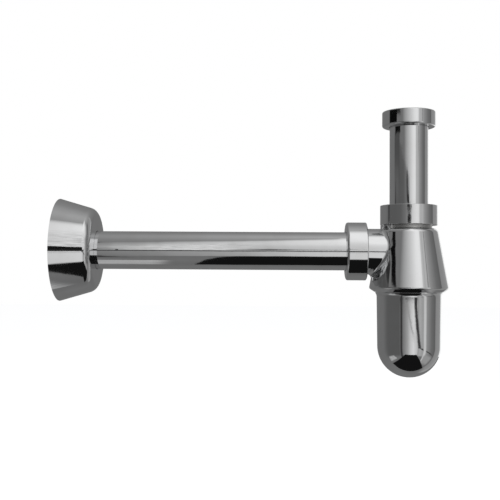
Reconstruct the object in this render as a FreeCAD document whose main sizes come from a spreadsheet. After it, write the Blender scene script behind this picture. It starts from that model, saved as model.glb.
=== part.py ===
# Bottle trap for a wash basin: a threaded body with a screwed cup, an upright inlet tube that dips
# into the cup, and a level outlet tube with a bell-shaped wall flange. Millimetres, +Z up.
# The origin is the mouth of the union nut, on the axis of the inlet tube. The outlet runs to -X.
import FreeCAD, Part
import os
import Sketcher

doc = FreeCAD.newDocument("bottle_trap")

# Driving dimensions
SIZES = [
    # Tubes
    ("tube_od", 32.0, "outside diameter of both tubes"),
    ("tube_wall", 1.2, "wall of both tubes"),
    ("inlet_tube_length", 184.0, "from the rim down to the dipping end"),
    ("rim_overhang", 3.2, "inlet tube's turned-out rim beyond the tube"),
    ("rim_bend", 0.8, "bend under the rim"),
    ("outlet_tube_length", 257.0, "length of the outlet tube"),
    ("outlet_tube_room", 4.5, "from the outlet tube's inner end to its stop"),
    # Union nut and what it clamps
    ("union_relief", 0.8, "depth of the turned relief behind the union nut's thread"),
    ("union_nut_wall", 1.9, "metal of the union nut round its relief"),
    ("union_nut_height", 12.7, "height of the union nut"),
    ("union_top_edge", 0.8, "rounding of the union nut's upper corner"),
    ("union_low_edge", 1.5, "rounding of the union nut's lower corner"),
    ("union_lead", 0.4, "chamfer at the mouth of the thread"),
    ("union_lip", 2.6, "lip under the slip ring"),
    ("slip_ring_thick", 0.6, "slip ring between lip and rim"),
    ("washer_thick", 1.6, "flat washer on the rim"),
    ("washer_cover", 0.2, "washer's top below the end of the thread"),
    # Body, measured from the crossing of the inlet and outlet axes
    ("outlet_drop", 117.3, "from the union nut's mouth down to the outlet axis"),
    ("shoulder_rise", 0.3, "flat shoulder above the outlet neck's top"),
    ("shoulder_round", 4.3, "rounding of the shoulder"),
    ("shoulder_flat", 0.1, "least flat between the inlet neck and that rounding"),
    ("shoulder_wall", 3.0, "metal under the shoulder"),
    ("chamber_wall", 2.4, "metal beside the chamber's top"),
    ("skirt_wall", 5.55, "widest part of the cone beyond the cup's thread"),
    ("skirt_below", 14.7, "lower end of the body below the outlet neck"),
    ("skirt_lip", 3.0, "lower end of the body below its widest part"),
    ("skirt_mouth_wall", 1.1, "metal at the body's lower end beyond the cup's thread"),
    ("skirt_round", 1.8, "rounding of the skirt's edge"),
    ("ledge_width", 2.65, "ledge over the cup's gasket"),
    # Necks that take the tubes
    ("spigot_plain", 12.8, "from the shoulder's radius out to the outlet neck's thread"),
    ("neck_wall", 1.7, "metal between seat and mean thread of both necks"),
    ("neck_thread_length", 11.2, "threaded length of both necks"),
    ("neck_groove", 3.0, "plain length between shoulder and inlet neck's thread"),
    ("neck_relief", 0.9, "depth of the inlet neck's plain length below its thread"),
    ("spigot_relief", 1.2, "depth of the outlet neck's plain length below its thread"),
    ("saddle_round", 3.5, "fillet between outlet neck and cone"),
    ("seat_depth", 4.0, "depth of the conical seal seats"),
    ("seat_flare", 2.2, "widening of a seat at its mouth"),
    ("stop_ahead", 4.8, "from the shoulder's radius out to the outlet tube's stop"),
    ("stop_step", 1.0, "outlet tube's stop inside the tube's outside"),
    ("lug_gap", 0.35, "shoulder lug's top below the inlet slip nut"),
    ("lug_inset", 0.2, "lug's face inside the outside of that nut"),
    ("lug_root", 6.0, "lug's foot below the shoulder, inside the metal"),
    ("lug_angle", 86.0, "lug's spread round the inlet axis, in degrees"),
    # Seals and nuts of the necks
    ("seal_head", 1.0, "cone seal's height above the neck"),
    ("seal_relief", 0.4, "cone seal's thin end short of the seat's bottom"),
    ("ring_thick", 1.5, "friction ring"),
    ("nut_lip", 2.5, "lip of a slip nut"),
    ("inlet_nut_wall", 3.45, "metal of the inlet slip nut round its thread"),
    ("inlet_nut_height", 16.3, "height of the inlet slip nut"),
    ("inlet_nut_edge", 0.4, "rounding of the inlet slip nut"),
    ("outlet_nut_wall", 3.95, "metal of the outlet slip nut round its thread"),
    ("outlet_nut_height", 17.0, "height of the outlet slip nut"),
    ("outlet_nut_edge", 1.8, "rounding of the outlet slip nut"),
    ("inlet_nut_skirt", 0.3, "rounding of the inlet slip nut's open end"),
    ("outlet_nut_skirt", 1.0, "rounding of the outlet slip nut's open end"),
    ("nut_lead", 0.6, "chamfer at the mouth of a slip nut's thread"),
    # Cup
    ("cup_room", 9.15, "room round the inlet tube inside the cup"),
    ("cup_taper", 0.6, "cup's radius lost between the body and its dome"),
    ("cup_dome_drop", 78.65, "start of the dome below the outlet axis"),
    ("cup_wall", 1.5, "wall of the cup"),
    ("cup_thread_step", 0.7, "mean thread beyond the cup's outside"),
    ("cup_thread_length", 12.5, "threaded length of the cup"),
    ("cup_insert", 15.0, "cup's rim above the body's lower end"),
    ("cup_lead", 0.8, "chamfer of the cup's rim"),
    ("gasket_thick", 2.0, "gasket on the cup's rim"),
    ("collar_width", 1.1, "collar of the cup under the body"),
    ("collar_thick", 0.5, "edge of the collar"),
    ("collar_slope", 1.8, "height of the slope under the collar"),
    ("collar_round", 4.5, "hollow rounding where the slope runs out"),
    ("collar_gap", 0.3, "gap between collar and body"),
    # Wall flange
    ("flange_beyond", 3.6, "flange's back beyond the outlet tube's end"),
    ("flange_face", 18.0, "flange's front face beyond the tube, before its corner is rounded"),
    ("flange_spread", 9.2, "flange's back beyond its front"),
    ("flange_depth", 31.4, "depth of the flange"),
    ("flange_round", 8.0, "rounding of the front corner"),
    ("flange_sheet", 1.2, "thickness of the pressed sheet"),
    ("flange_collar", 4.0, "collar drawn inward round the tube"),
    # Clearances
    ("slide_clearance", 0.3, "round a tube in a bore it slides through"),
    ("lip_clearance", 0.4, "round a tube in a nut's lip"),
    ("thread_clearance", 0.1, "between mean thread surfaces"),
    ("seal_clearance", 0.08, "between a cone seal and its tube"),
    ("seat_clearance", 0.1, "between a cone seal and its seat"),
    ("ring_clearance", 0.3, "round a loose ring inside a nut or the body"),
]

sheet = doc.addObject("Spreadsheet::Sheet", "sizes")
for row, (alias, number, meaning) in enumerate(SIZES, start=1):
    sheet.set(f"A{row}", meaning)
    sheet.set(f"B{row}", str(number))
    sheet.setAlias(f"B{row}", alias)
doc.recompute()


def size(alias):
    return f"sizes.{alias}"


def half(alias):
    return f"sizes.{alias} / 2"


def value(expression):
    return float(sheet.evalExpression(expression))


# Places and radii that several pieces share
TUBE_RADIUS = half("tube_od")
TUBE_BORE_RADIUS = f"({TUBE_RADIUS} - sizes.tube_wall)"
BORE_RADIUS = f"({TUBE_RADIUS} + sizes.slide_clearance)"
LIP_RADIUS = f"({TUBE_RADIUS} + sizes.lip_clearance)"
RIM_RADIUS = f"({TUBE_RADIUS} + sizes.rim_overhang)"
UNION_THREAD_RADIUS = f"({RIM_RADIUS} + sizes.ring_clearance)"
UNION_RELIEF_RADIUS = f"({UNION_THREAD_RADIUS} + sizes.union_relief)"
SEAT_RADIUS = f"({BORE_RADIUS} + sizes.seat_flare)"
NECK_RADIUS = f"({SEAT_RADIUS} + sizes.neck_wall)"
GROOVE_RADIUS = f"({NECK_RADIUS} - sizes.neck_relief)"
SPIGOT_RADIUS = f"({NECK_RADIUS} - sizes.spigot_relief)"
SHOULDER_RADIUS = f"({GROOVE_RADIUS} + sizes.shoulder_flat + sizes.shoulder_round)"
NUT_THREAD_RADIUS = f"({NECK_RADIUS} + sizes.thread_clearance)"
RING_RADIUS = f"({NUT_THREAD_RADIUS} - sizes.ring_clearance)"
CUP_TOP_RADIUS = f"({TUBE_RADIUS} + sizes.cup_room + sizes.cup_wall)"
CUP_SIDE_RADIUS = f"({CUP_TOP_RADIUS} - sizes.cup_taper)"
CUP_THREAD_RADIUS = f"({CUP_TOP_RADIUS} + sizes.cup_thread_step)"
CUP_BORE_RADIUS = f"({CUP_THREAD_RADIUS} + sizes.thread_clearance)"
SKIRT_RADIUS = f"({CUP_BORE_RADIUS} + sizes.skirt_wall)"
FLANGE_FRONT_RADIUS = f"({TUBE_RADIUS} + sizes.flange_face)"
SPIGOT_REACH = f"({SHOULDER_RADIUS} + sizes.spigot_plain + sizes.neck_thread_length)"
STOP_REACH = f"({SHOULDER_RADIUS} + sizes.stop_ahead)"
OUTLET_TUBE_REACH = f"({STOP_REACH} + sizes.outlet_tube_room)"
FLANGE_REACH = f"({OUTLET_TUBE_REACH} + sizes.outlet_tube_length + sizes.flange_beyond)"
SHOULDER_UP = f"({SPIGOT_RADIUS} + sizes.shoulder_rise)"
NECK_UP = f"({SHOULDER_UP} + sizes.neck_groove + sizes.neck_thread_length)"
SKIRT_DROP = f"({SPIGOT_RADIUS} + sizes.skirt_below)"
CUP_RIM_UP = f"(sizes.cup_insert - {SKIRT_DROP})"
LEDGE_UP = f"({CUP_RIM_UP} + sizes.gasket_thick)"
CHAMBER_TOP_UP = f"({SHOULDER_UP} - sizes.shoulder_wall)"
UNION_LIP_UP = "(sizes.union_lip - sizes.union_nut_height)"
RIM_TOP_UP = f"({UNION_LIP_UP} + sizes.slip_ring_thick + sizes.tube_wall)"
WASHER_TOP_UP = f"({RIM_TOP_UP} + sizes.washer_thick)"
NUT_SEAT = "(sizes.seal_head + sizes.ring_thick)"
INLET_NUT_UP = f"({NECK_UP} + {NUT_SEAT} + sizes.nut_lip - sizes.inlet_nut_height)"
INWARD_DEPTH = 10.0  # how far an outlet cut or neck reaches to the inlet axis, inside the chamber


def new_body(label):
    body = doc.addObject("PartDesign::Body", label)
    body.Label = label
    return body


def origin_plane(body, role):
    return [item for item in body.Origin.OriginFeatures if item.Role == role][0]


def new_sketch(body, name, role):
    sketch = body.newObject("Sketcher::SketchObject", name)
    sketch.AttachmentSupport = [(origin_plane(body, role), "")]
    sketch.MapMode = "FlatFace"
    return sketch


def fix_coordinate(sketch, kind, edge, end, expression):
    """Ties one coordinate of a sketch point to an expression. Zero puts the point on an axis."""
    if expression == "0":
        axis = -2 if kind == "DistanceX" else -1
        sketch.addConstraint(Sketcher.Constraint("PointOnObject", edge, end, axis))
        return
    number = sketch.addConstraint(Sketcher.Constraint(kind, -1, 1, edge, end, value(expression)))
    sketch.setExpression(f"Constraints[{number}]", expression)


def outline(body, name, corners):
    """Closed upright outline. A corner is (across, up), or (across, up, centre_up) where a quarter
    arc round a centre on the axis leads to it from the corner before."""
    sketch = new_sketch(body, name, "XZ_Plane")
    places = [FreeCAD.Vector(value(corner[0]), value(corner[1]), 0) for corner in corners]
    starts = []
    ends = []
    for index, corner in enumerate(corners):
        before = places[index - 1]
        here = places[index]
        if len(corner) == 3:
            centre = FreeCAD.Vector(0, value(corner[2]), 0)
            circle = Part.Circle(centre, FreeCAD.Vector(0, 0, 1), (here - centre).Length)
            arc = Part.ArcOfCircle(circle, circle.parameter(here), circle.parameter(before))
            edge = sketch.addGeometry(arc, False)
            starts.append((edge, 2))
            ends.append((edge, 1))
        else:
            edge = sketch.addGeometry(Part.LineSegment(before, here), False)
            starts.append((edge, 1))
            ends.append((edge, 2))
    for index, corner in enumerate(corners):
        following = (index + 1) % len(corners)
        sketch.addConstraint(Sketcher.Constraint("Coincident", *ends[index], *starts[following]))
        fix_coordinate(sketch, "DistanceX", *ends[index], corner[0])
        if len(corner) == 3:
            centre_point = (ends[index][0], 3)
            fix_coordinate(sketch, "DistanceX", *centre_point, "0")
            fix_coordinate(sketch, "DistanceY", *centre_point, corner[2])
        else:
            fix_coordinate(sketch, "DistanceY", *ends[index], corner[1])
    return sketch


def turned(body, name, kind, corners, axis="V_Axis"):
    """Revolution or Groove of an outline about the upright axis, or about the level one."""
    sketch = outline(body, name + "_outline", corners)
    feature = body.newObject(kind, name)
    feature.Profile = sketch
    feature.ReferenceAxis = (sketch, [axis])
    feature.Angle = 360
    doc.recompute()
    return feature


def cut_turned(body, name, corners, axis="V_Axis"):
    """Groove that must take metal away."""
    before = body.Shape.Volume
    feature = turned(body, name, "PartDesign::Groove", corners, axis)
    if body.Shape.Volume > before - 1:
        raise RuntimeError(f"{name} removes nothing from {body.Label}")
    return feature


def rims(shape, radius, up):
    """Names of the circular edges of this radius at this height round the upright axis."""
    names = []
    for number, edge in enumerate(shape.Edges, start=1):
        if edge.Degenerated or not isinstance(edge.Curve, Part.Circle):
            continue
        curve = edge.Curve
        on_axis = abs(curve.Center.x) < 0.001 and abs(curve.Center.y) < 0.001
        same = abs(curve.Radius - radius) < 0.001 and abs(curve.Center.z - up) < 0.001
        if on_axis and same:
            names.append(f"Edge{number}")
    if not names:
        raise RuntimeError(f"no rim of radius {radius:.3f} at {up:.3f}")
    return names


def dress(body, name, kind, places, bound, expression):
    """Fillet or Chamfer on rims, each place a (radius, up) pair of expressions."""
    base = body.Tip
    names = []
    for radius, up in places:
        names += rims(base.Shape, value(radius), value(up))
    feature = body.newObject(kind, name)
    feature.Base = (base, names)
    feature.setExpression(bound, expression)
    doc.recompute()
    return feature


def round_rims(body, name, places, expression):
    return dress(body, name, "PartDesign::Fillet", places, "Radius", expression)


def bevel_rims(body, name, places, expression):
    return dress(body, name, "PartDesign::Chamfer", places, "Size", expression)


def ring_sketch(body, name, inner_radius, outer_radius):
    sketch = new_sketch(body, name, "XY_Plane")
    for radius in (inner_radius, outer_radius):
        circle = Part.Circle(FreeCAD.Vector(0, 0, 0), FreeCAD.Vector(0, 0, 1), value(radius))
        edge = sketch.addGeometry(circle, False)
        sketch.addConstraint(Sketcher.Constraint("Coincident", edge, 3, -1, 1))
        number = sketch.addConstraint(Sketcher.Constraint("Radius", edge, value(radius)))
        sketch.setExpression(f"Constraints[{number}]", radius)
    return sketch


def ring(label, inner_radius, outer_radius, thickness):
    """Flat ring that stands on its own origin."""
    body = new_body(label)
    sketch = ring_sketch(body, label + "_outline", inner_radius, outer_radius)
    pad = body.newObject("PartDesign::Pad", label + "_pad")
    pad.Profile = sketch
    pad.setExpression("Length", thickness)
    doc.recompute()
    return body


def stand(body, up):
    """Puts a piece on the inlet axis at this height."""
    body.setExpression("Placement.Base.z", up)


def lay_out(body, reach):
    """Lays a piece on the outlet axis, its own +Z pointing away from the body."""
    body.Placement = FreeCAD.Placement(
        FreeCAD.Vector(0, 0, 0), FreeCAD.Rotation(FreeCAD.Vector(0, 1, 0), -90)
    )
    body.setExpression("Placement.Base.x", f"-({reach})")
    body.setExpression("Placement.Base.z", "-sizes.outlet_drop")


def inlet_height(up):
    """Height in the part's frame of a height above the outlet axis."""
    return f"{up} - sizes.outlet_drop"


def make_union_nut():
    body = new_body("union_nut")
    outer = f"{UNION_RELIEF_RADIUS} + sizes.union_nut_wall"
    bottom = "-sizes.union_nut_height"
    thread_end = f"({WASHER_TOP_UP} + sizes.washer_cover)"
    turned(body, "union_ring", "PartDesign::Revolution", [
        (outer, "0"),
        (outer, bottom),
        (LIP_RADIUS, bottom),
        (LIP_RADIUS, UNION_LIP_UP),
        (UNION_RELIEF_RADIUS, UNION_LIP_UP),
        (UNION_RELIEF_RADIUS, thread_end),
        (UNION_THREAD_RADIUS, thread_end),
        (UNION_THREAD_RADIUS, "0"),
    ])
    round_rims(body, "union_top_corner", [(outer, "0")], size("union_top_edge"))
    round_rims(body, "union_low_corner", [(outer, bottom)], size("union_low_edge"))
    bevel_rims(body, "union_mouth", [(UNION_THREAD_RADIUS, "0")], size("union_lead"))
    return body


def make_union_stack():
    """Slip ring on the nut's lip, and flat washer on the tube's rim."""
    slip_ring = ring(
        "union_slip_ring",
        f"{LIP_RADIUS} + sizes.rim_bend",
        RIM_RADIUS,
        size("slip_ring_thick"),
    )
    stand(slip_ring, UNION_LIP_UP)
    washer = ring("inlet_washer", TUBE_BORE_RADIUS, RIM_RADIUS, size("washer_thick"))
    stand(washer, RIM_TOP_UP)
    return [slip_ring, washer]


def make_inlet_tube():
    body = new_body("inlet_tube")
    rim_under = "-sizes.tube_wall"
    bottom = "-sizes.inlet_tube_length"
    turned(body, "tube_and_rim", "PartDesign::Revolution", [
        (RIM_RADIUS, "0"),
        (RIM_RADIUS, rim_under),
        (TUBE_RADIUS, rim_under),
        (TUBE_RADIUS, bottom),
        (TUBE_BORE_RADIUS, bottom),
        (TUBE_BORE_RADIUS, "0"),
    ])
    round_rims(body, "bend_under_rim", [(TUBE_RADIUS, rim_under)], size("rim_bend"))
    round_rims(
        body, "bend_in_mouth", [(TUBE_BORE_RADIUS, "0")], "sizes.rim_bend + sizes.tube_wall"
    )
    stand(body, RIM_TOP_UP)
    return body


def round_saddle(body, neck_radius):
    """Fillet where the level neck runs into the cone and its rounded shoulder."""
    base = body.Tip
    names = []
    for number, edge in enumerate(base.Shape.Edges, start=1):
        surfaces = [face.Surface for face in base.Shape.ancestorsOfType(edge, Part.Face)]
        on_neck = any(
            isinstance(surface, Part.Cylinder)
            and abs(surface.Axis.x) > 0.999
            and abs(surface.Radius - neck_radius) < 0.001
            for surface in surfaces
        )
        on_cone = any(isinstance(surface, (Part.Cone, Part.Toroid)) for surface in surfaces)
        if on_neck and on_cone:
            names.append(f"Edge{number}")
    fillet = body.newObject("PartDesign::Fillet", "saddle")
    fillet.Base = (base, names)
    fillet.setExpression("Radius", size("saddle_round"))
    doc.recompute()


def add_lug(body):
    """Low lug between the shoulder and the inlet slip nut, over the root of the outlet neck."""
    face = f"(sizes.lug_inset - {NUT_THREAD_RADIUS} - sizes.inlet_nut_wall)"
    root = f"-({GROOVE_RADIUS} - sizes.neck_relief)"
    top = f"({INLET_NUT_UP} - sizes.lug_gap)"
    foot = f"({SHOULDER_UP} - sizes.lug_root)"
    lug = turned(body, "shoulder_lug", "PartDesign::Revolution", [
        (face, foot),
        (face, top),
        (root, top),
        (root, foot),
    ])
    lug.Midplane = True
    lug.setExpression("Angle", size("lug_angle"))
    doc.recompute()


def make_trap_body():
    """Cast body. Its own origin is the crossing of the inlet and outlet axes."""
    body = new_body("trap_body")
    thread_end_up = f"{SHOULDER_UP} + sizes.neck_groove"
    skirt_up = f"sizes.skirt_lip - {SKIRT_DROP}"
    bottom_up = f"-{SKIRT_DROP}"
    turned(body, "cone_and_neck", "PartDesign::Revolution", [
        ("0", NECK_UP),
        (NECK_RADIUS, NECK_UP),
        (NECK_RADIUS, thread_end_up),
        (GROOVE_RADIUS, thread_end_up),
        (GROOVE_RADIUS, SHOULDER_UP),
        (SHOULDER_RADIUS, SHOULDER_UP),
        (SKIRT_RADIUS, skirt_up),
        (f"{CUP_BORE_RADIUS} + sizes.skirt_mouth_wall", bottom_up),
        ("0", bottom_up),
    ])
    round_rims(body, "shoulder_corner", [(SHOULDER_RADIUS, SHOULDER_UP)], size("shoulder_round"))
    round_rims(body, "skirt_corner", [(SKIRT_RADIUS, skirt_up)], size("skirt_round"))

    mouth = f"-{SPIGOT_REACH}"
    thread_end = f"sizes.neck_thread_length - {SPIGOT_REACH}"
    turned(body, "outlet_neck", "PartDesign::Revolution", [
        (str(-INWARD_DEPTH), "0"),
        (str(-INWARD_DEPTH), SPIGOT_RADIUS),
        (thread_end, SPIGOT_RADIUS),
        (thread_end, NECK_RADIUS),
        (mouth, NECK_RADIUS),
        (mouth, "0"),
    ], axis="H_Axis")
    round_saddle(body, value(SPIGOT_RADIUS))
    add_lug(body)

    cut_turned(body, "chamber_and_inlet", [
        ("0", NECK_UP),
        (SEAT_RADIUS, NECK_UP),
        (BORE_RADIUS, f"{NECK_UP} - sizes.seat_depth"),
        (BORE_RADIUS, CHAMBER_TOP_UP),
        (f"{SHOULDER_RADIUS} - sizes.chamber_wall", CHAMBER_TOP_UP),
        (f"{CUP_BORE_RADIUS} - sizes.ledge_width", LEDGE_UP),
        (CUP_BORE_RADIUS, LEDGE_UP),
        (CUP_BORE_RADIUS, bottom_up),
        ("0", bottom_up),
    ])
    cut_turned(body, "outlet_bore", [
        (mouth, "0"),
        (mouth, SEAT_RADIUS),
        (f"sizes.seat_depth - {SPIGOT_REACH}", BORE_RADIUS),
        (f"-{STOP_REACH}", BORE_RADIUS),
        (f"-{STOP_REACH}", f"{TUBE_RADIUS} - sizes.stop_step"),
        (str(-INWARD_DEPTH), f"{TUBE_RADIUS} - sizes.stop_step"),
        (str(-INWARD_DEPTH), "0"),
    ], axis="H_Axis")
    stand(body, inlet_height("0"))
    return body


def make_cone_seal(label):
    """Rubber cone in a neck's seat. Its own origin is the neck's mouth, +Z outward."""
    body = new_body(label)
    bore = f"{TUBE_RADIUS} + sizes.seal_clearance"
    wide = f"{SEAT_RADIUS} - sizes.seat_clearance"
    depth = "(sizes.seat_depth - sizes.seal_relief)"
    thin = f"{wide} - sizes.seat_flare * {depth} / sizes.seat_depth"
    turned(body, label + "_cone", "PartDesign::Revolution", [
        (bore, size("seal_head")),
        (wide, size("seal_head")),
        (wide, "0"),
        (thin, f"-{depth}"),
        (bore, f"-{depth}"),
    ])
    return body


def make_slip_nut(label, side):
    """Slip nut. Its own origin is the inner face of its lip, +Z outward."""
    body = new_body(label)
    outer = f"{NUT_THREAD_RADIUS} + sizes.{side}_nut_wall"
    top = size("nut_lip")
    bottom = f"(sizes.nut_lip - sizes.{side}_nut_height)"
    turned(body, label + "_ring", "PartDesign::Revolution", [
        (LIP_RADIUS, top),
        (outer, top),
        (outer, bottom),
        (NUT_THREAD_RADIUS, bottom),
        (NUT_THREAD_RADIUS, "0"),
        (LIP_RADIUS, "0"),
    ])
    round_rims(body, label + "_outer_corner", [(outer, top)], size(f"{side}_nut_edge"))
    round_rims(body, label + "_skirt_corner", [(outer, bottom)], size(f"{side}_nut_skirt"))
    bevel_rims(body, label + "_mouth", [(NUT_THREAD_RADIUS, bottom)], size("nut_lead"))
    return body


def make_joint_pieces(side, place, mouth):
    """Cone seal, friction ring and slip nut of one neck, stacked outward from its mouth."""
    seal = make_cone_seal(f"{side}_cone_seal")
    place(seal, mouth)
    friction_ring = ring(f"{side}_friction_ring", BORE_RADIUS, RING_RADIUS, size("ring_thick"))
    place(friction_ring, f"{mouth} + sizes.seal_head")
    nut = make_slip_nut(f"{side}_slip_nut", side)
    place(nut, f"{mouth} + {NUT_SEAT}")
    return [seal, friction_ring, nut]


def make_cup_gasket():
    body = ring(
        "cup_gasket",
        f"{CUP_TOP_RADIUS} - sizes.cup_wall",
        f"{CUP_BORE_RADIUS} - sizes.ring_clearance",
        size("gasket_thick"),
    )
    stand(body, inlet_height(CUP_RIM_UP))
    return body


def make_trap_cup():
    """Screwed cup. Its own origin is the crossing of the inlet and outlet axes."""
    body = new_body("trap_cup")
    collar = f"{CUP_TOP_RADIUS} + sizes.collar_width"
    thread_end = f"{CUP_RIM_UP} - sizes.cup_thread_length"
    collar_up = f"-({SKIRT_DROP} + sizes.collar_gap)"
    collar_low = f"({collar_up} - sizes.collar_thick)"
    slope_low = f"({collar_low} - sizes.collar_slope)"
    dome = "-sizes.cup_dome_drop"
    turned(body, "cup_outside", "PartDesign::Revolution", [
        ("0", CUP_RIM_UP),
        (CUP_THREAD_RADIUS, CUP_RIM_UP),
        (CUP_THREAD_RADIUS, thread_end),
        (CUP_TOP_RADIUS, thread_end),
        (CUP_TOP_RADIUS, collar_up),
        (collar, collar_up),
        (collar, collar_low),
        (CUP_TOP_RADIUS, slope_low),
        (CUP_SIDE_RADIUS, dome),
        ("0", f"{dome} - {CUP_SIDE_RADIUS}", dome),
    ])
    round_rims(body, "under_collar", [(CUP_TOP_RADIUS, slope_low)], size("collar_round"))
    bevel_rims(body, "cup_rim", [(CUP_THREAD_RADIUS, CUP_RIM_UP)], size("cup_lead"))
    inner_side = f"({CUP_SIDE_RADIUS} - sizes.cup_wall)"
    cut_turned(body, "cup_inside", [
        ("0", CUP_RIM_UP),
        (f"{CUP_TOP_RADIUS} - sizes.cup_wall", CUP_RIM_UP),
        (inner_side, dome),
        ("0", f"{dome} - {inner_side}", dome),
    ])
    stand(body, inlet_height("0"))
    return body


def make_outlet_tube():
    body = ring("outlet_tube", TUBE_BORE_RADIUS, TUBE_RADIUS, size("outlet_tube_length"))
    lay_out(body, OUTLET_TUBE_REACH)
    return body


def make_wall_flange():
    """Bell pressed from sheet. Its own origin is at the wall, +Z toward the trap's body."""
    body = new_body("wall_flange")
    depth = size("flange_depth")
    turned(body, "bell", "PartDesign::Revolution", [
        ("0", "0"),
        (f"{FLANGE_FRONT_RADIUS} + sizes.flange_spread", "0"),
        (FLANGE_FRONT_RADIUS, depth),
        ("0", depth),
    ])
    round_rims(body, "front_corner", [(FLANGE_FRONT_RADIUS, depth)], size("flange_round"))
    base = body.Tip
    back_face = [
        f"Face{number}"
        for number, face in enumerate(base.Shape.Faces, start=1)
        if abs(face.CenterOfMass.z) < 0.001
    ]
    shell = body.newObject("PartDesign::Thickness", "sheet")
    shell.Base = (base, back_face)
    shell.setExpression("Value", size("flange_sheet"))
    shell.Reversed = True
    doc.recompute()
    collar_low = "sizes.flange_depth - sizes.flange_sheet - sizes.flange_collar"
    collar_outer = f"{BORE_RADIUS} + sizes.flange_sheet"
    turned(body, "drawn_collar", "PartDesign::Revolution", [
        ("0", depth),
        (collar_outer, depth),
        (collar_outer, collar_low),
        ("0", collar_low),
    ])
    cut_turned(body, "tube_hole", [
        ("0", depth),
        (BORE_RADIUS, depth),
        (BORE_RADIUS, collar_low),
        ("0", collar_low),
    ])
    body.Placement = FreeCAD.Placement(
        FreeCAD.Vector(0, 0, 0), FreeCAD.Rotation(FreeCAD.Vector(0, 1, 0), 90)
    )
    body.setExpression("Placement.Base.x", f"-{FLANGE_REACH}")
    body.setExpression("Placement.Base.z", "-sizes.outlet_drop")
    return body


def place_inlet(body, up):
    stand(body, inlet_height(up))


pieces = [make_union_nut()]
pieces += make_union_stack()
pieces.append(make_inlet_tube())
pieces.append(make_trap_body())
pieces += make_joint_pieces("inlet", place_inlet, NECK_UP)
pieces += make_joint_pieces("outlet", lay_out, SPIGOT_REACH)
pieces.append(make_cup_gasket())
pieces.append(make_trap_cup())
pieces.append(make_outlet_tube())
pieces.append(make_wall_flange())
doc.recompute()

# Every object is sound before anything is written
for item in doc.Objects:
    if "Invalid" in item.State or "Error" in item.State:
        raise RuntimeError(f"{item.Name} has failed: {item.State}")
for piece in pieces:
    shape = piece.Shape
    if shape.isNull() or not shape.isValid():
        raise RuntimeError(f"{piece.Label} has no valid shape")
    if len(shape.Solids) != 1:
        raise RuntimeError(f"{piece.Label} has {len(shape.Solids)} solids")

os.makedirs("parts", exist_ok=True)
for piece in pieces:
    piece.Shape.exportStep(f"parts/{piece.Label}.step")
    box = piece.Shape.BoundBox
    print(
        f"{piece.Label}: {piece.Shape.Volume / 1000:.2f} cm3,"
        f" x {box.XMin:.2f} to {box.XMax:.2f}, y {box.YMin:.2f} to {box.YMax:.2f},"
        f" z {box.ZMin:.2f} to {box.ZMax:.2f}"
    )
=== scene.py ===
import math

import bmesh
import bpy
from mathutils import Matrix, Vector


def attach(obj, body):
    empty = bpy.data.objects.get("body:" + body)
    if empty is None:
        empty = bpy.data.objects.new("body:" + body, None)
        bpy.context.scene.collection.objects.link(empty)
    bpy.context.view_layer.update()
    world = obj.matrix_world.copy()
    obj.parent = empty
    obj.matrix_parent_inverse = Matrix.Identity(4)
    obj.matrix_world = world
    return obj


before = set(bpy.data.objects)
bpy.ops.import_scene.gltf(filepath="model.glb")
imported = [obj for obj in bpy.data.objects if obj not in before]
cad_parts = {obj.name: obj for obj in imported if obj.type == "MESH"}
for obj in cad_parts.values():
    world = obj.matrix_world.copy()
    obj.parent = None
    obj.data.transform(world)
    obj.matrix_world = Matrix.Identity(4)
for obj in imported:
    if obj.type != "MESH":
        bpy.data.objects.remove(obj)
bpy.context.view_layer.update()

# All lengths are in metres, in the frame that the CAD and the scene share.
OUTLET_Z = -0.1173  # height of the outlet tube's axis in the CAD
FLOOR_Z = -0.36
FLOOR_REACH = 6.0


def grey(level):
    return (level, level, level, 1)


def add_object(name, data):
    made = bpy.data.objects.new(name, data)
    bpy.context.scene.collection.objects.link(made)
    return made


def add_mesh(name, vertices, faces, material):
    mesh = bpy.data.meshes.new(name)
    mesh.from_pydata(vertices, [], faces)
    mesh.update()
    mesh.materials.append(material)
    return add_object(name, mesh)


# Camera, fitted to edges measured in the photograph. Its turns are in radians.

SENSOR_MM = 36.0
LENS_MM = 61.95
CAMERA_PLACE = (-0.1095, -0.7241, -0.1397)
CAMERA_PAN = 0.0325
CAMERA_TILT = 0.0319
CAMERA_ROLL = -0.0066


def make_camera():
    data = bpy.data.cameras.new("photo_camera")
    data.sensor_width = SENSOR_MM
    data.lens = LENS_MM
    camera = add_object("photo_camera", data)
    turn = (
        Matrix.Rotation(CAMERA_PAN, 3, "Z")
        @ Matrix.Rotation(CAMERA_TILT, 3, "X")
        @ Matrix.Rotation(CAMERA_ROLL, 3, "Y")
    )
    right, forward, up = turn.col[0], turn.col[1], turn.col[2]
    placed = Matrix.Identity(4)
    for row in range(3):
        placed[row][0] = right[row]
        placed[row][1] = up[row]
        placed[row][2] = -forward[row]
    placed.translation = Vector(CAMERA_PLACE)
    camera.matrix_world = placed
    bpy.context.scene.camera = camera


# Node helpers

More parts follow.
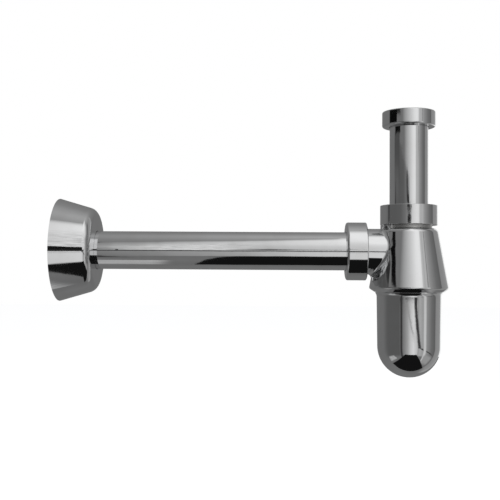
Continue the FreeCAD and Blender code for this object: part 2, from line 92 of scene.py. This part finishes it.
class Tree:
    """Short calls for building one node tree."""

    def __init__(self, tree):
        self.tree = tree
        tree.nodes.clear()

    def node(self, kind, **settings):
        made = self.tree.nodes.new(kind)
        for name, setting in settings.items():
            setattr(made, name, setting)
        return made

    def link(self, source, target):
        self.tree.links.new(source, target)

    def put(self, socket, what):
        if isinstance(what, bpy.types.NodeSocket):
            self.link(what, socket)
        else:
            socket.default_value = what

    def math(self, operation, a, b=0.0, c=0.0):
        made = self.node("ShaderNodeMath", operation=operation)
        self.put(made.inputs[0], a)
        self.put(made.inputs[1], b)
        self.put(made.inputs[2], c)
        return made.outputs[0]

    def plus(self, a, b):
        return self.math("ADD", a, b)

    def less(self, a, b):
        return self.math("SUBTRACT", a, b)

    def product(self, first, *others):
        for other in others:
            first = self.math("MULTIPLY", first, other)
        return first

    def squares(self, a, b):
        """Sum of the squares of a and b."""
        return self.plus(self.product(a, a), self.product(b, b))

    def smooth(self, what, low, high, start=0.0, end=1.0):
        """Goes smoothly from start to end while what goes from low to high."""
        made = self.node("ShaderNodeMapRange", interpolation_type="SMOOTHSTEP")
        self.put(made.inputs["Value"], what)
        made.inputs["From Min"].default_value = low
        made.inputs["From Max"].default_value = high
        made.inputs["To Min"].default_value = start
        made.inputs["To Max"].default_value = end
        return made.outputs["Result"]

    def fading(self, what, low, high):
        return self.smooth(what, low, high, 1.0, 0.0)

    def ramp(self, what, stops):
        """stops are (position, level) pairs, the first at 0 and the last at 1."""
        made = self.node("ShaderNodeValToRGB")
        band = made.color_ramp
        for position, level in stops[1:-1]:
            band.elements.new(position).color = grey(level)
        for index in (0, -1):
            band.elements[index].color = grey(stops[index][1])
        self.put(made.inputs["Fac"], what)
        return made.outputs["Color"]

    def place(self):
        """Point in the object's own coordinates, which at rest are the frame's for CAD nodes."""
        return self.node("ShaderNodeTexCoord").outputs["Object"]

    def split(self, vector):
        made = self.node("ShaderNodeSeparateXYZ")
        self.link(vector, made.inputs[0])
        return made.outputs

    def scaled(self, vector, factors):
        made = self.node("ShaderNodeVectorMath", operation="MULTIPLY")
        self.put(made.inputs[0], vector)
        made.inputs[1].default_value = factors
        return made.outputs[0]

    def noise(self, vector, scale, detail, roughness):
        made = self.node("ShaderNodeTexNoise")
        self.put(made.inputs["Vector"], vector)
        made.inputs["Scale"].default_value = scale
        made.inputs["Detail"].default_value = detail
        made.inputs["Roughness"].default_value = roughness
        return made.outputs["Fac"]

    def colour_mix(self, factor, a, b):
        made = self.node("ShaderNodeMix", data_type="RGBA")
        self.put(made.inputs[0], factor)
        self.put(made.inputs[6], a)
        self.put(made.inputs[7], b)
        return made.outputs[2]

    def bump(self, height, strength, distance, before=None):
        made = self.node("ShaderNodeBump")
        made.inputs["Strength"].default_value = strength
        made.inputs["Distance"].default_value = distance
        self.put(made.inputs["Height"], height)
        if before is not None:
            self.link(before, made.inputs["Normal"])
        return made.outputs["Normal"]

    def light(self, colour, strength, kind="ShaderNodeEmission"):
        made = self.node(kind)
        made.inputs["Color"].default_value = colour
        self.put(made.inputs["Strength"], strength)
        return made.outputs[0]

    def matte(self, level):
        made = self.node("ShaderNodeBsdfDiffuse")
        made.inputs["Color"].default_value = grey(level)
        return made.outputs[0]

    def shader_mix(self, factor, a, b):
        made = self.node("ShaderNodeMixShader")
        self.link(factor, made.inputs[0])
        self.link(a, made.inputs[1])
        self.link(b, made.inputs[2])
        return made.outputs[0]

    def sharp_rays(self):
        """1 for rays from the camera, a reflection or a refraction, 0 for diffuse light."""
        path = self.node("ShaderNodeLightPath").outputs
        seen = self.math("MAXIMUM", path["Is Camera Ray"], path["Is Glossy Ray"])
        return self.math("MAXIMUM", seen, path["Is Transmission Ray"])

    def surface(self, shader, output="ShaderNodeOutputMaterial"):
        self.link(shader, self.node(output).inputs["Surface"])

    def principled(self, base, rough, normal, metallic=0.0):
        made = self.node("ShaderNodeBsdfPrincipled")
        made.inputs["Metallic"].default_value = metallic
        self.link(base, made.inputs["Base Color"])
        self.link(rough, made.inputs["Roughness"])
        self.link(normal, made.inputs["Normal"])
        self.surface(made.outputs[0])


def new_material(name, kind=Tree):
    material = bpy.data.materials.new(name)
    material.use_nodes = True
    return material, kind(material.node_tree)


# Studio. Its tent and cards are seen only by reflections, as flags and softboxes round polished
# metal are.

class Tent(Tree):
    """Luminance of the studio's tent, built up panel by panel in degrees seen from its centre.

    Azimuth is 0 toward the camera and grows toward +X.
    """

    def __init__(self, tree):
        super().__init__(tree)
        x, y, z = self.split(self.place())
        away = self.product(y, -1.0)
        self.azimuth = self.math("DEGREES", self.math("ARCTAN2", x, away))
        level = self.math("SQRT", self.squares(x, y))
        self.elevation = self.math("DEGREES", self.math("ARCTAN2", z, level))
        self.level = 0.0

    def window(self, what, low, high, soft_low, soft_high):
        """1 from low to high. Its two ends fade over the soft angles."""
        rise = self.smooth(what, low - soft_low / 2, low + soft_low / 2)
        fall = self.fading(what, high - soft_high / 2, high + soft_high / 2)
        return self.product(rise, fall)

    def gradient(self, what, stops):
        """stops are (degrees, level) pairs."""
        low, high = stops[0][0], stops[-1][0]
        share = self.math("DIVIDE", self.less(what, low), high - low)
        return self.ramp(share, [((at - low) / (high - low), level) for at, level in stops])

    def beside(self, point, lean):
        """Azimuth past a line through the point, in degrees.

        The line goes left by lean degrees of azimuth for each degree that it rises.
        """
        across = self.less(self.azimuth, point[0])
        return self.plus(across, self.product(self.less(self.elevation, point[1]), lean))

    def cover(self, mask, level):
        kept = self.product(self.level, self.less(1.0, mask))
        self.level = self.plus(kept, self.product(level, mask))

    def panel(self, across, up, level, soft_across=(4, 4), soft_up=(4, 4)):
        """Puts a panel of this level over what is there.

        across and up are the angles where it starts and ends, with soft edges there.
        """
        self.cover(
            self.product(
                self.window(self.azimuth, *across, *soft_across),
                self.window(self.elevation, *up, *soft_up),
            ),
            level,
        )

    def spot(self, centre, size, level):
        """Puts a small oval of this level over what is there."""
        across = self.math("DIVIDE", self.less(self.azimuth, centre[0]), size[0])
        up = self.math("DIVIDE", self.less(self.elevation, centre[1]), size[1])
        self.cover(self.fading(self.squares(across, up), 0.6, 1.4), level)


def only_reflected(piece):
    piece.visible_camera = False
    piece.visible_diffuse = False
    piece.visible_shadow = False
    piece.visible_transmission = False
    piece.visible_volume_scatter = False


def add_card(name, corners, material):
    only_reflected(add_mesh(name, corners, [tuple(range(len(corners)))], material))


def plain_card(name, corners, level):
    material, t = new_material(name)
    t.surface(t.light(grey(level), 1.0))
    add_card(name, corners, material)


def streaked_card(name, corners, level, across, up):
    """Softbox card with faint streaks, clear from behind.

    across and up say where it fades in and out: four places each, in x and in z.
    """
    material, t = new_material(name)
    place = t.place()
    x, _, z = t.split(place)
    streaks = t.noise(
        t.scaled(place, (5.0, 70.0, 90.0)), scale=1.0, detail=3.0, roughness=0.6
    )
    back = t.node("ShaderNodeNewGeometry").outputs["Backfacing"]
    seen = t.product(
        t.smooth(x, across[0], across[1]),
        t.fading(x, across[2], across[3]),
        t.smooth(z, up[0], up[1]),
        t.fading(z, up[2], up[3]),
        t.less(1.0, back),
    )
    strength = t.product(t.smooth(streaks, 0.35, 0.65, start=0.75, end=1.1), level)
    clear = t.node("ShaderNodeBsdfTransparent").outputs[0]
    t.surface(t.shader_mix(seen, clear, t.light(grey(1), strength)))
    add_card(name, corners, material)


def paint_room(t):
    """Room, walls and backdrop."""
    az, el = t.azimuth, t.elevation
    # Grey room, paler overhead
    t.level = t.gradient(el, [
        (-90, 0.16), (-60, 0.2), (-20, 0.18), (20, 0.2), (56, 0.28), (76, 0.4), (90, 0.5),
    ])
    t.panel((-100, -40), (-34, 10), level=0.12, soft_across=(30, 4), soft_up=(10, 8))
    # Wall beside the softbox, with a step to a paler stretch, then the white backdrop
    wall = t.gradient(az, [
        (50, 0.42), (64, 0.3), (80, 0.19), (99, 0.14), (102, 0.3), (130, 0.34), (144, 0.45),
    ])
    t.panel((51, 142), (-58, 62), level=wall, soft_across=(2, 6), soft_up=(16, 20))
    edge = t.gradient(az, [(32, 0.72), (40, 0.5), (44, 0.58), (54, 0.42)])
    t.panel((32, 54), (-4, 62), level=edge, soft_across=(1, 4), soft_up=(2, 20))
    high = t.gradient(az, [(30, 1.0), (45, 0.85), (60, 0.6), (76, 0.4)])
    t.panel((30, 76), (32, 68), level=high, soft_across=(1, 24), soft_up=(14, 16))


def paint_softbox(t):
    """Large softbox in front, brightest to the right and high up, and what hides its lower left."""
    az, el = t.azimuth, t.elevation
    across = t.gradient(az, [
        (-50, 0.12), (-36, 0.2), (-24, 0.4), (-11, 0.57), (2, 0.74), (15, 0.92), (25, 0.98),
        (33, 0.9),
    ])
    rise = t.gradient(el, [
        (0, 0.96), (14, 0.98), (26, 1.08), (40, 1.3), (60, 1.4), (80, 1.3),
    ])
    leaned = t.less(el, t.product(t.math("MINIMUM", az, 5.0), 0.9))
    top = t.fading(leaned, 64, 98)
    brightest = 1.05
    soft = t.product(
        t.math("MINIMUM", t.product(across, rise), brightest),
        t.window(az, -48, 33, 20, 1.2),
        top,
        t.smooth(el, -1.4, 0.2),
    )
    t.level = t.math("MAXIMUM", t.level, soft)
    # Something grey with a slanting top edge
    edge = t.less(13.0, t.product(t.plus(az, 51.0), 0.064))
    hidden = t.product(
        t.fading(t.less(el, edge), -0.6, 0.6),
        t.smooth(el, -1.0, 0.5),
        t.window(az, -72, -5, 8, 5),
    )
    t.cover(hidden, t.gradient(az, [(-64, 0.12), (-40, 0.13), (-22, 0.2), (-5, 0.36)]))
    # Dark stand in front of it
    for centre, size, level in (
        ((-18, 9.2), (4, 1.9), 0.06),
        ((-12, 7.6), (6, 0.8), 0.03),
        ((-6, 6.5), (10, 0.4), 0.004),
        ((-6, 5.3), (8, 0.55), 0.004),
        ((-5, 4.3), (7, 0.25), 0.01),
    ):
        t.spot(centre, size, level)


def paint_table(t):
    """Dark gap under the softbox and the pale table, with a dark line to its left."""
    az, el = t.azimuth, t.elevation
    t.panel((-40, 34), (-5.6, -1.0), level=0.04, soft_across=(6, 2), soft_up=(1.6, 1.2))
    top = t.gradient(az, [(-31, 0.2), (-22, 0.3), (-12, 0.45), (-2, 0.72), (8, 0.86), (24, 0.6)])
    t.panel((-31, 24), (-33, -5.0), level=top, soft_across=(3, 3), soft_up=(3, 1.6))
    t.panel((-38, -31), (-40, -3.6), level=0.05, soft_across=(3, 3), soft_up=(6, 0.8))
    right = t.gradient(az, [(24, 0.4), (31, 0.5), (42, 0.42)])
    t.panel((24, 46), (-34, -3.6), level=right, soft_across=(3, 2), soft_up=(6, 1))
    # Dark band that slants to the right on its way down
    fall = t.math("MAXIMUM", t.less(-6.3, el), 0.0)
    band = t.less(az, t.plus(16.0, t.product(fall, 3.6)))
    t.cover(t.product(t.window(band, -5, 5, 4, 4), t.window(el, -26, -4.2, 8, 1.2)), 0.05)
    # Paler streak across the gap
    line = t.beside((-23.0, -5.1), 8.0)
    t.cover(t.product(t.window(line, -2.5, 2.5, 3, 3), t.window(el, -9.2, -4.8, 1, 1)), 0.36)
    # Pale strip beside the table, a grey stretch low on the right, a thin dark line higher up
    t.panel((46, 56), (-50, -1), level=0.7, soft_across=(4, 5), soft_up=(14, 3))
    t.panel((51, 92), (-54, -30), level=0.38, soft_across=(6, 20), soft_up=(12, 10))
    t.panel((48.5, 50.5), (13, 23), level=0.2, soft_across=(1.4, 1.4), soft_up=(3, 3))


def paint_left_flag(t):
    """Black flag to the left, slanting, with greyer ones under it."""
    slant = t.beside((-54.0, 17.5), 3.8)
    t.panel((-102, -65), (10.5, 15.2), level=0.09, soft_across=(8, 5), soft_up=(5, 0.8))
    t.panel((-99, -70), (15.4, 17.9), level=0.03, soft_across=(3, 3), soft_up=(0.6, 0.8))
    t.cover(
        t.product(t.window(slant, -10, 9, 6, 4), t.window(t.elevation, 16.9, 25, 0.5, 6)),
        0.004,
    )
    t.panel((-98, -90), (-2, 9), level=0.06, soft_across=(4, 4), soft_up=(3, 4))


def make_tent():
    """Round tent of pale and dark panels a metre away, centred on the trap."""
    material, t = new_material("studio_tent", Tent)
    paint_room(t)
    paint_softbox(t)
    paint_table(t)
    paint_left_flag(t)
    t.surface(t.light(grey(1), t.level))
    mesh = bpy.data.meshes.new("studio_tent")
    shape = bmesh.new()
    bmesh.ops.create_uvsphere(shape, u_segments=96, v_segments=48, radius=1.0)
    shape.to_mesh(mesh)
    shape.free()
    mesh.materials.append(material)
    tent = add_object("studio_tent", mesh)
    tent.location = (0.0, 0.0, OUTLET_Z)
    only_reflected(tent)


def make_studio():
    make_tent()
    # Black card low in front of the trap
    plain_card(
        "black_card",
        [(-0.208, 0.022, -0.43), (-0.189, -0.39, -0.43), (-0.168, -0.46, -0.43),
         (0.17, -0.46, -0.43), (0.165, -0.2, -0.43), (0.15, 0.022, -0.43)],
        level=0.008,
    )
    # White card behind on the right, its edge toward the flange
    plain_card(
        "white_card",
        [(0.137, 0.359, -0.25), (0.553, 0.708, -0.42), (0.553, 0.708, 0.42),
         (0.137, 0.359, 0.13)],
        level=1.0,
    )
    # Black card high on the left, seen by the union nut
    plain_card(
        "nut_flag",
        [(-0.364, 0.027, 0.037), (-0.309, -0.183, 0.037), (-0.309, -0.183, 0.071),
         (-0.364, 0.027, 0.071)],
        level=0.004,
    )
    # Dark bar in front of the flange
    plain_card(
        "flange_bar",
        [(-0.2505, -0.0636, -0.1195), (-0.2675, -0.1469, -0.1215),
         (-0.2675, -0.1469, -0.1035), (-0.2505, -0.0636, -0.1135)],
        level=0.01,
    )
    # Pale card in front of the tube, its edge toward the trap
    streaked_card(
        "tube_card",
        [(-0.107, -0.09, -0.115), (-0.345, -0.29, -0.115), (-0.345, -0.29, 0.09),
         (-0.107, -0.09, 0.09)],
        level=0.85,
        across=(-0.36, -0.20, -0.175, -0.11),
        up=(-0.13, -0.12, -0.06, 0.09),
    )
    # Pale card below the tube's left half
    streaked_card(
        "low_card",
        [(-0.44, -0.16, -0.42), (-0.225, -0.16, -0.42), (-0.225, 0.02, -0.42),
         (-0.44, 0.02, -0.42)],
        level=0.5,
        across=(-0.44, -0.36, -0.26, -0.23),
        up=(-0.5, -0.45, -0.3, -0.2),
    )


def make_world():
    """White to the camera and in reflections, soft and slightly cool for diffuse light."""
    world = bpy.data.worlds.new("studio")
    bpy.context.scene.world = world
    world.use_nodes = True
    t = Tree(world.node_tree)
    soft = t.light((0.97, 0.98, 1.0, 1), 0.55, "ShaderNodeBackground")
    white = t.light(grey(1), 1.0, "ShaderNodeBackground")
    t.surface(t.shader_mix(t.sharp_rays(), soft, white), "ShaderNodeOutputWorld")


def make_floor():
    """Pale floor: white to the camera, with the object's shadow kept."""
    material, t = new_material("pale_floor")
    both = t.node("ShaderNodeAddShader")
    t.link(t.light(grey(1), 0.72), both.inputs[0])
    t.link(t.matte(0.5), both.inputs[1])
    t.surface(t.shader_mix(t.sharp_rays(), t.matte(0.86), both.outputs[0]))
    near, far = -FLOOR_REACH, FLOOR_REACH
    corners = [(near, near, FLOOR_Z), (far, near, FLOOR_Z), (far, far, FLOOR_Z),
               (near, far, FLOOR_Z)]
    floor = add_mesh("floor", corners, [(0, 1, 2, 3)], material)
    floor.visible_glossy = False


LAMP_AIM = Vector((-0.1, 0, -0.12))


def make_lamp(name, place, size, power):
    data = bpy.data.lights.new(name, "AREA")
    data.shape = "RECTANGLE"
    data.size, data.size_y = size
    data.energy = power
    lamp = add_object(name, data)
    lamp.location = place
    direction = LAMP_AIM - Vector(place)
    lamp.rotation_euler = direction.to_track_quat("-Z", "Y").to_euler()
    lamp.visible_glossy = False


# Materials of the object

CHROME_TONE = (0.74, 0.745, 0.75)
HAZE_FADE = (0.955, 0.95, 0.945)
# Two tones each for metal left unpolished. On the trap body's neck the casting's darker tones are
# also painted shade under the slip nut.
BRASS = ((0.52, 0.43, 0.26), (0.4, 0.31, 0.18))
CASTING_AND_NECK_SHADE = ((0.62, 0.62, 0.61), (0.5, 0.5, 0.49))


def chrome(name, wave=0.06, bore=None, raw_and_shade=BRASS, dull=0.0):
    """Polished chrome plate with faint polishing haze and slow waviness.

    bore is an axis ("x" or "z") and a radius. Nearer to the axis the metal is unpolished, in the
    two given tones. On the trap body's neck their darker tone is also painted shade under the slip
    nut. dull is added to the roughness.
    """
    material, t = new_material(name)
    place = t.place()
    haze = t.noise(place, scale=55.0, detail=4.0, roughness=0.6)
    fine = t.noise(place, scale=900.0, detail=2.0, roughness=0.5)
    slow = t.noise(place, scale=28.0, detail=2.0, roughness=0.45)
    hazy_tone = [part * fade for part, fade in zip(CHROME_TONE, HAZE_FADE)]
    base = t.colour_mix(t.smooth(haze, 0.35, 0.75), (*CHROME_TONE, 1), (*hazy_tone, 1))
    rough = t.plus(
        t.smooth(haze, 0.4, 0.8, start=0.035 + dull, end=0.075 + dull), t.product(fine, 0.02)
    )
    if bore is not None:
        axis, radius = bore
        x, y, z = t.split(place)
        first = x if axis == "z" else t.less(z, OUTLET_Z)
        far = t.math("SQRT", t.squares(first, y))
        inside = t.fading(far, radius - 0.0005, radius - 0.0002)
        stains = t.noise(place, scale=160.0, detail=4.0, roughness=0.6)
        # Unpolished metal nearer the axis, in two tones. On the trap body's neck these also paint
        # the shade under the slip nut.
        unpolished_and_shade = t.colour_mix(t.smooth(stains, 0.3, 0.7), (*raw_and_shade[0], 1), (*raw_and_shade[1], 1))
        base = t.colour_mix(inside, base, unpolished_and_shade)
        rougher = t.smooth(stains, 0.3, 0.7, start=0.25, end=0.4)
        rough = t.plus(rough, t.product(inside, rougher))
    waves = t.bump(slow, strength=wave, distance=0.002)
    normal = t.bump(fine, strength=0.02, distance=0.0002, before=waves)
    t.principled(base, rough, normal, metallic=1.0)
    return material


def rubber(name, tone):
    """Rubber or plastic with a faint grain, paler and rougher where it has bloomed."""
    material, t = new_material(name)
    place = t.place()
    bloom = t.noise(place, scale=120.0, detail=5.0, roughness=0.6)
    fine = t.noise(place, scale=2400.0, detail=2.0, roughness=0.5)
    bloomed_tone = [part * 1.6 + 0.01 for part in tone]
    base = t.colour_mix(t.smooth(bloom, 0.35, 0.8), (*tone, 1), (*bloomed_tone, 1))
    rough = t.smooth(bloom, 0.3, 0.8, start=0.5, end=0.7)
    t.principled(base, rough, t.bump(fine, strength=0.25, distance=0.0002))
    return material


def dress(material, *nodes):
    for node in nodes:
        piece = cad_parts[node]
        piece.data.materials.clear()
        piece.data.materials.append(material)


def dress_nodes():
    dress(
        chrome("chrome_plate"),
        "union_nut", "inlet_slip_nut", "trap_cup", "outlet_slip_nut", "wall_flange",
    )
    # Casting tones near the trap body's axis: unpolished metal, and on the neck also painted shade
    # under the slip nut.
    dress(chrome("body_chrome", bore=("z", 0.0206), raw_and_shade=CASTING_AND_NECK_SHADE), "trap_body")
    dress(chrome("inlet_tube_chrome", wave=0.08, bore=("z", 0.016)), "inlet_tube")
    dress(chrome("outlet_tube_chrome", wave=0.14, bore=("x", 0.016)), "outlet_tube")
    dress(
        rubber("black_rubber", (0.02, 0.02, 0.021)),
        "inlet_washer", "inlet_cone_seal", "outlet_cone_seal", "cup_gasket",
    )
    dress(
        rubber("ring_plastic", (0.55, 0.55, 0.53)),
        "union_slip_ring", "inlet_friction_ring", "outlet_friction_ring",
    )


# Threads. The CAD has their mean cylinders; these are the ridges.

NECK_PITCH = 0.002309
CUP_PITCH = 0.002
THREAD_STEPS = 60  # faces in one turn
THREAD_SINK = 0.00006  # how far the ridge's foot goes into the metal
FOOT, CREST = 0.42, 0.1  # half widths of the ridge, in pitches
END_ROOM = 0.45  # from the middle of the ridge to the end of the thread, in pitches
RUN_OUT = 2.5  # the ridge gets its full height in one turn divided by this

# Name, body, axis, radius, height (negative for a ridge that stands inward), start, end, pitch
THREADS = (
    ("inlet_neck_thread", "trap_body", "z", 0.0202, 0.0006, -0.0948, -0.0839, NECK_PITCH),
    ("outlet_neck_thread", "trap_body", "x", 0.0202, 0.0006, -0.0476, -0.0368, NECK_PITCH),
    ("cup_thread", "trap_cup", "z", 0.02735, 0.0005, -0.1484, -0.137, CUP_PITCH),
    ("inlet_nut_thread", "inlet_slip_nut", "z", 0.0203, -0.0006, -0.0944, -0.0848, NECK_PITCH),
    ("outlet_nut_thread", "outlet_slip_nut", "x", 0.0203, -0.0006, -0.0467, -0.0366, NECK_PITCH),
    ("union_nut_thread", "union_nut", "z", 0.0195, -0.00025, -0.0064, -0.0004, NECK_PITCH),
)


def make_thread(name, body, axis, radius, height, start, end, pitch, material):
    """Right-handed ridge round a cylinder, from start to end along the axis."""
    foot = radius + (-THREAD_SINK if height > 0 else THREAD_SINK)
    low, high = start + END_ROOM * pitch, end - END_ROOM * pitch
    count = int((high - low) / pitch * THREAD_STEPS)
    corners = 4
    vertices = []
    faces = []
    for step in range(count + 1):
        angle = 2 * math.pi * step / THREAD_STEPS
        middle = low + pitch * step / THREAD_STEPS
        nearest_end = min(step, count - step)
        crest = radius + height * min(1.0, RUN_OUT * nearest_end / THREAD_STEPS)
        for share, away in ((-FOOT, foot), (-CREST, crest), (CREST, crest), (FOOT, foot)):
            along = middle + share * pitch
            first, second = away * math.cos(angle), away * math.sin(angle)
            if axis == "z":
                vertices.append((first, second, along))
            else:
                vertices.append((along, first, OUTLET_Z + second))
        if step:
            last, this = corners * (step - 1), corners * step
            for corner in range(corners):
                after = (corner + 1) % corners
                faces.append((last + corner, last + after, this + after, this + corner))
    faces.append(tuple(reversed(range(corners))))
    faces.append(tuple(corners * count + corner for corner in range(corners)))
    piece = add_mesh(name, vertices, faces, material)
    shape = bmesh.new()
    shape.from_mesh(piece.data)
    bmesh.ops.recalc_face_normals(shape, faces=shape.faces[:])
    shape.to_mesh(piece.data)
    shape.free()
    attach(piece, body)


def make_threads():
    dulled = chrome("thread_chrome", wave=0.02, dull=0.16)
    for row in THREADS:
        make_thread(*row, dulled)


make_camera()
make_world()
make_floor()
make_studio()
make_lamp("key", (-0.5, -1.2, 1.1), (1.2, 1.0), 9.0)
make_lamp("fill", (1.0, -0.6, 0.7), (1.0, 1.0), 4.0)
dress_nodes()
make_threads()

view = bpy.context.scene.view_settings
view.view_transform = "Standard"
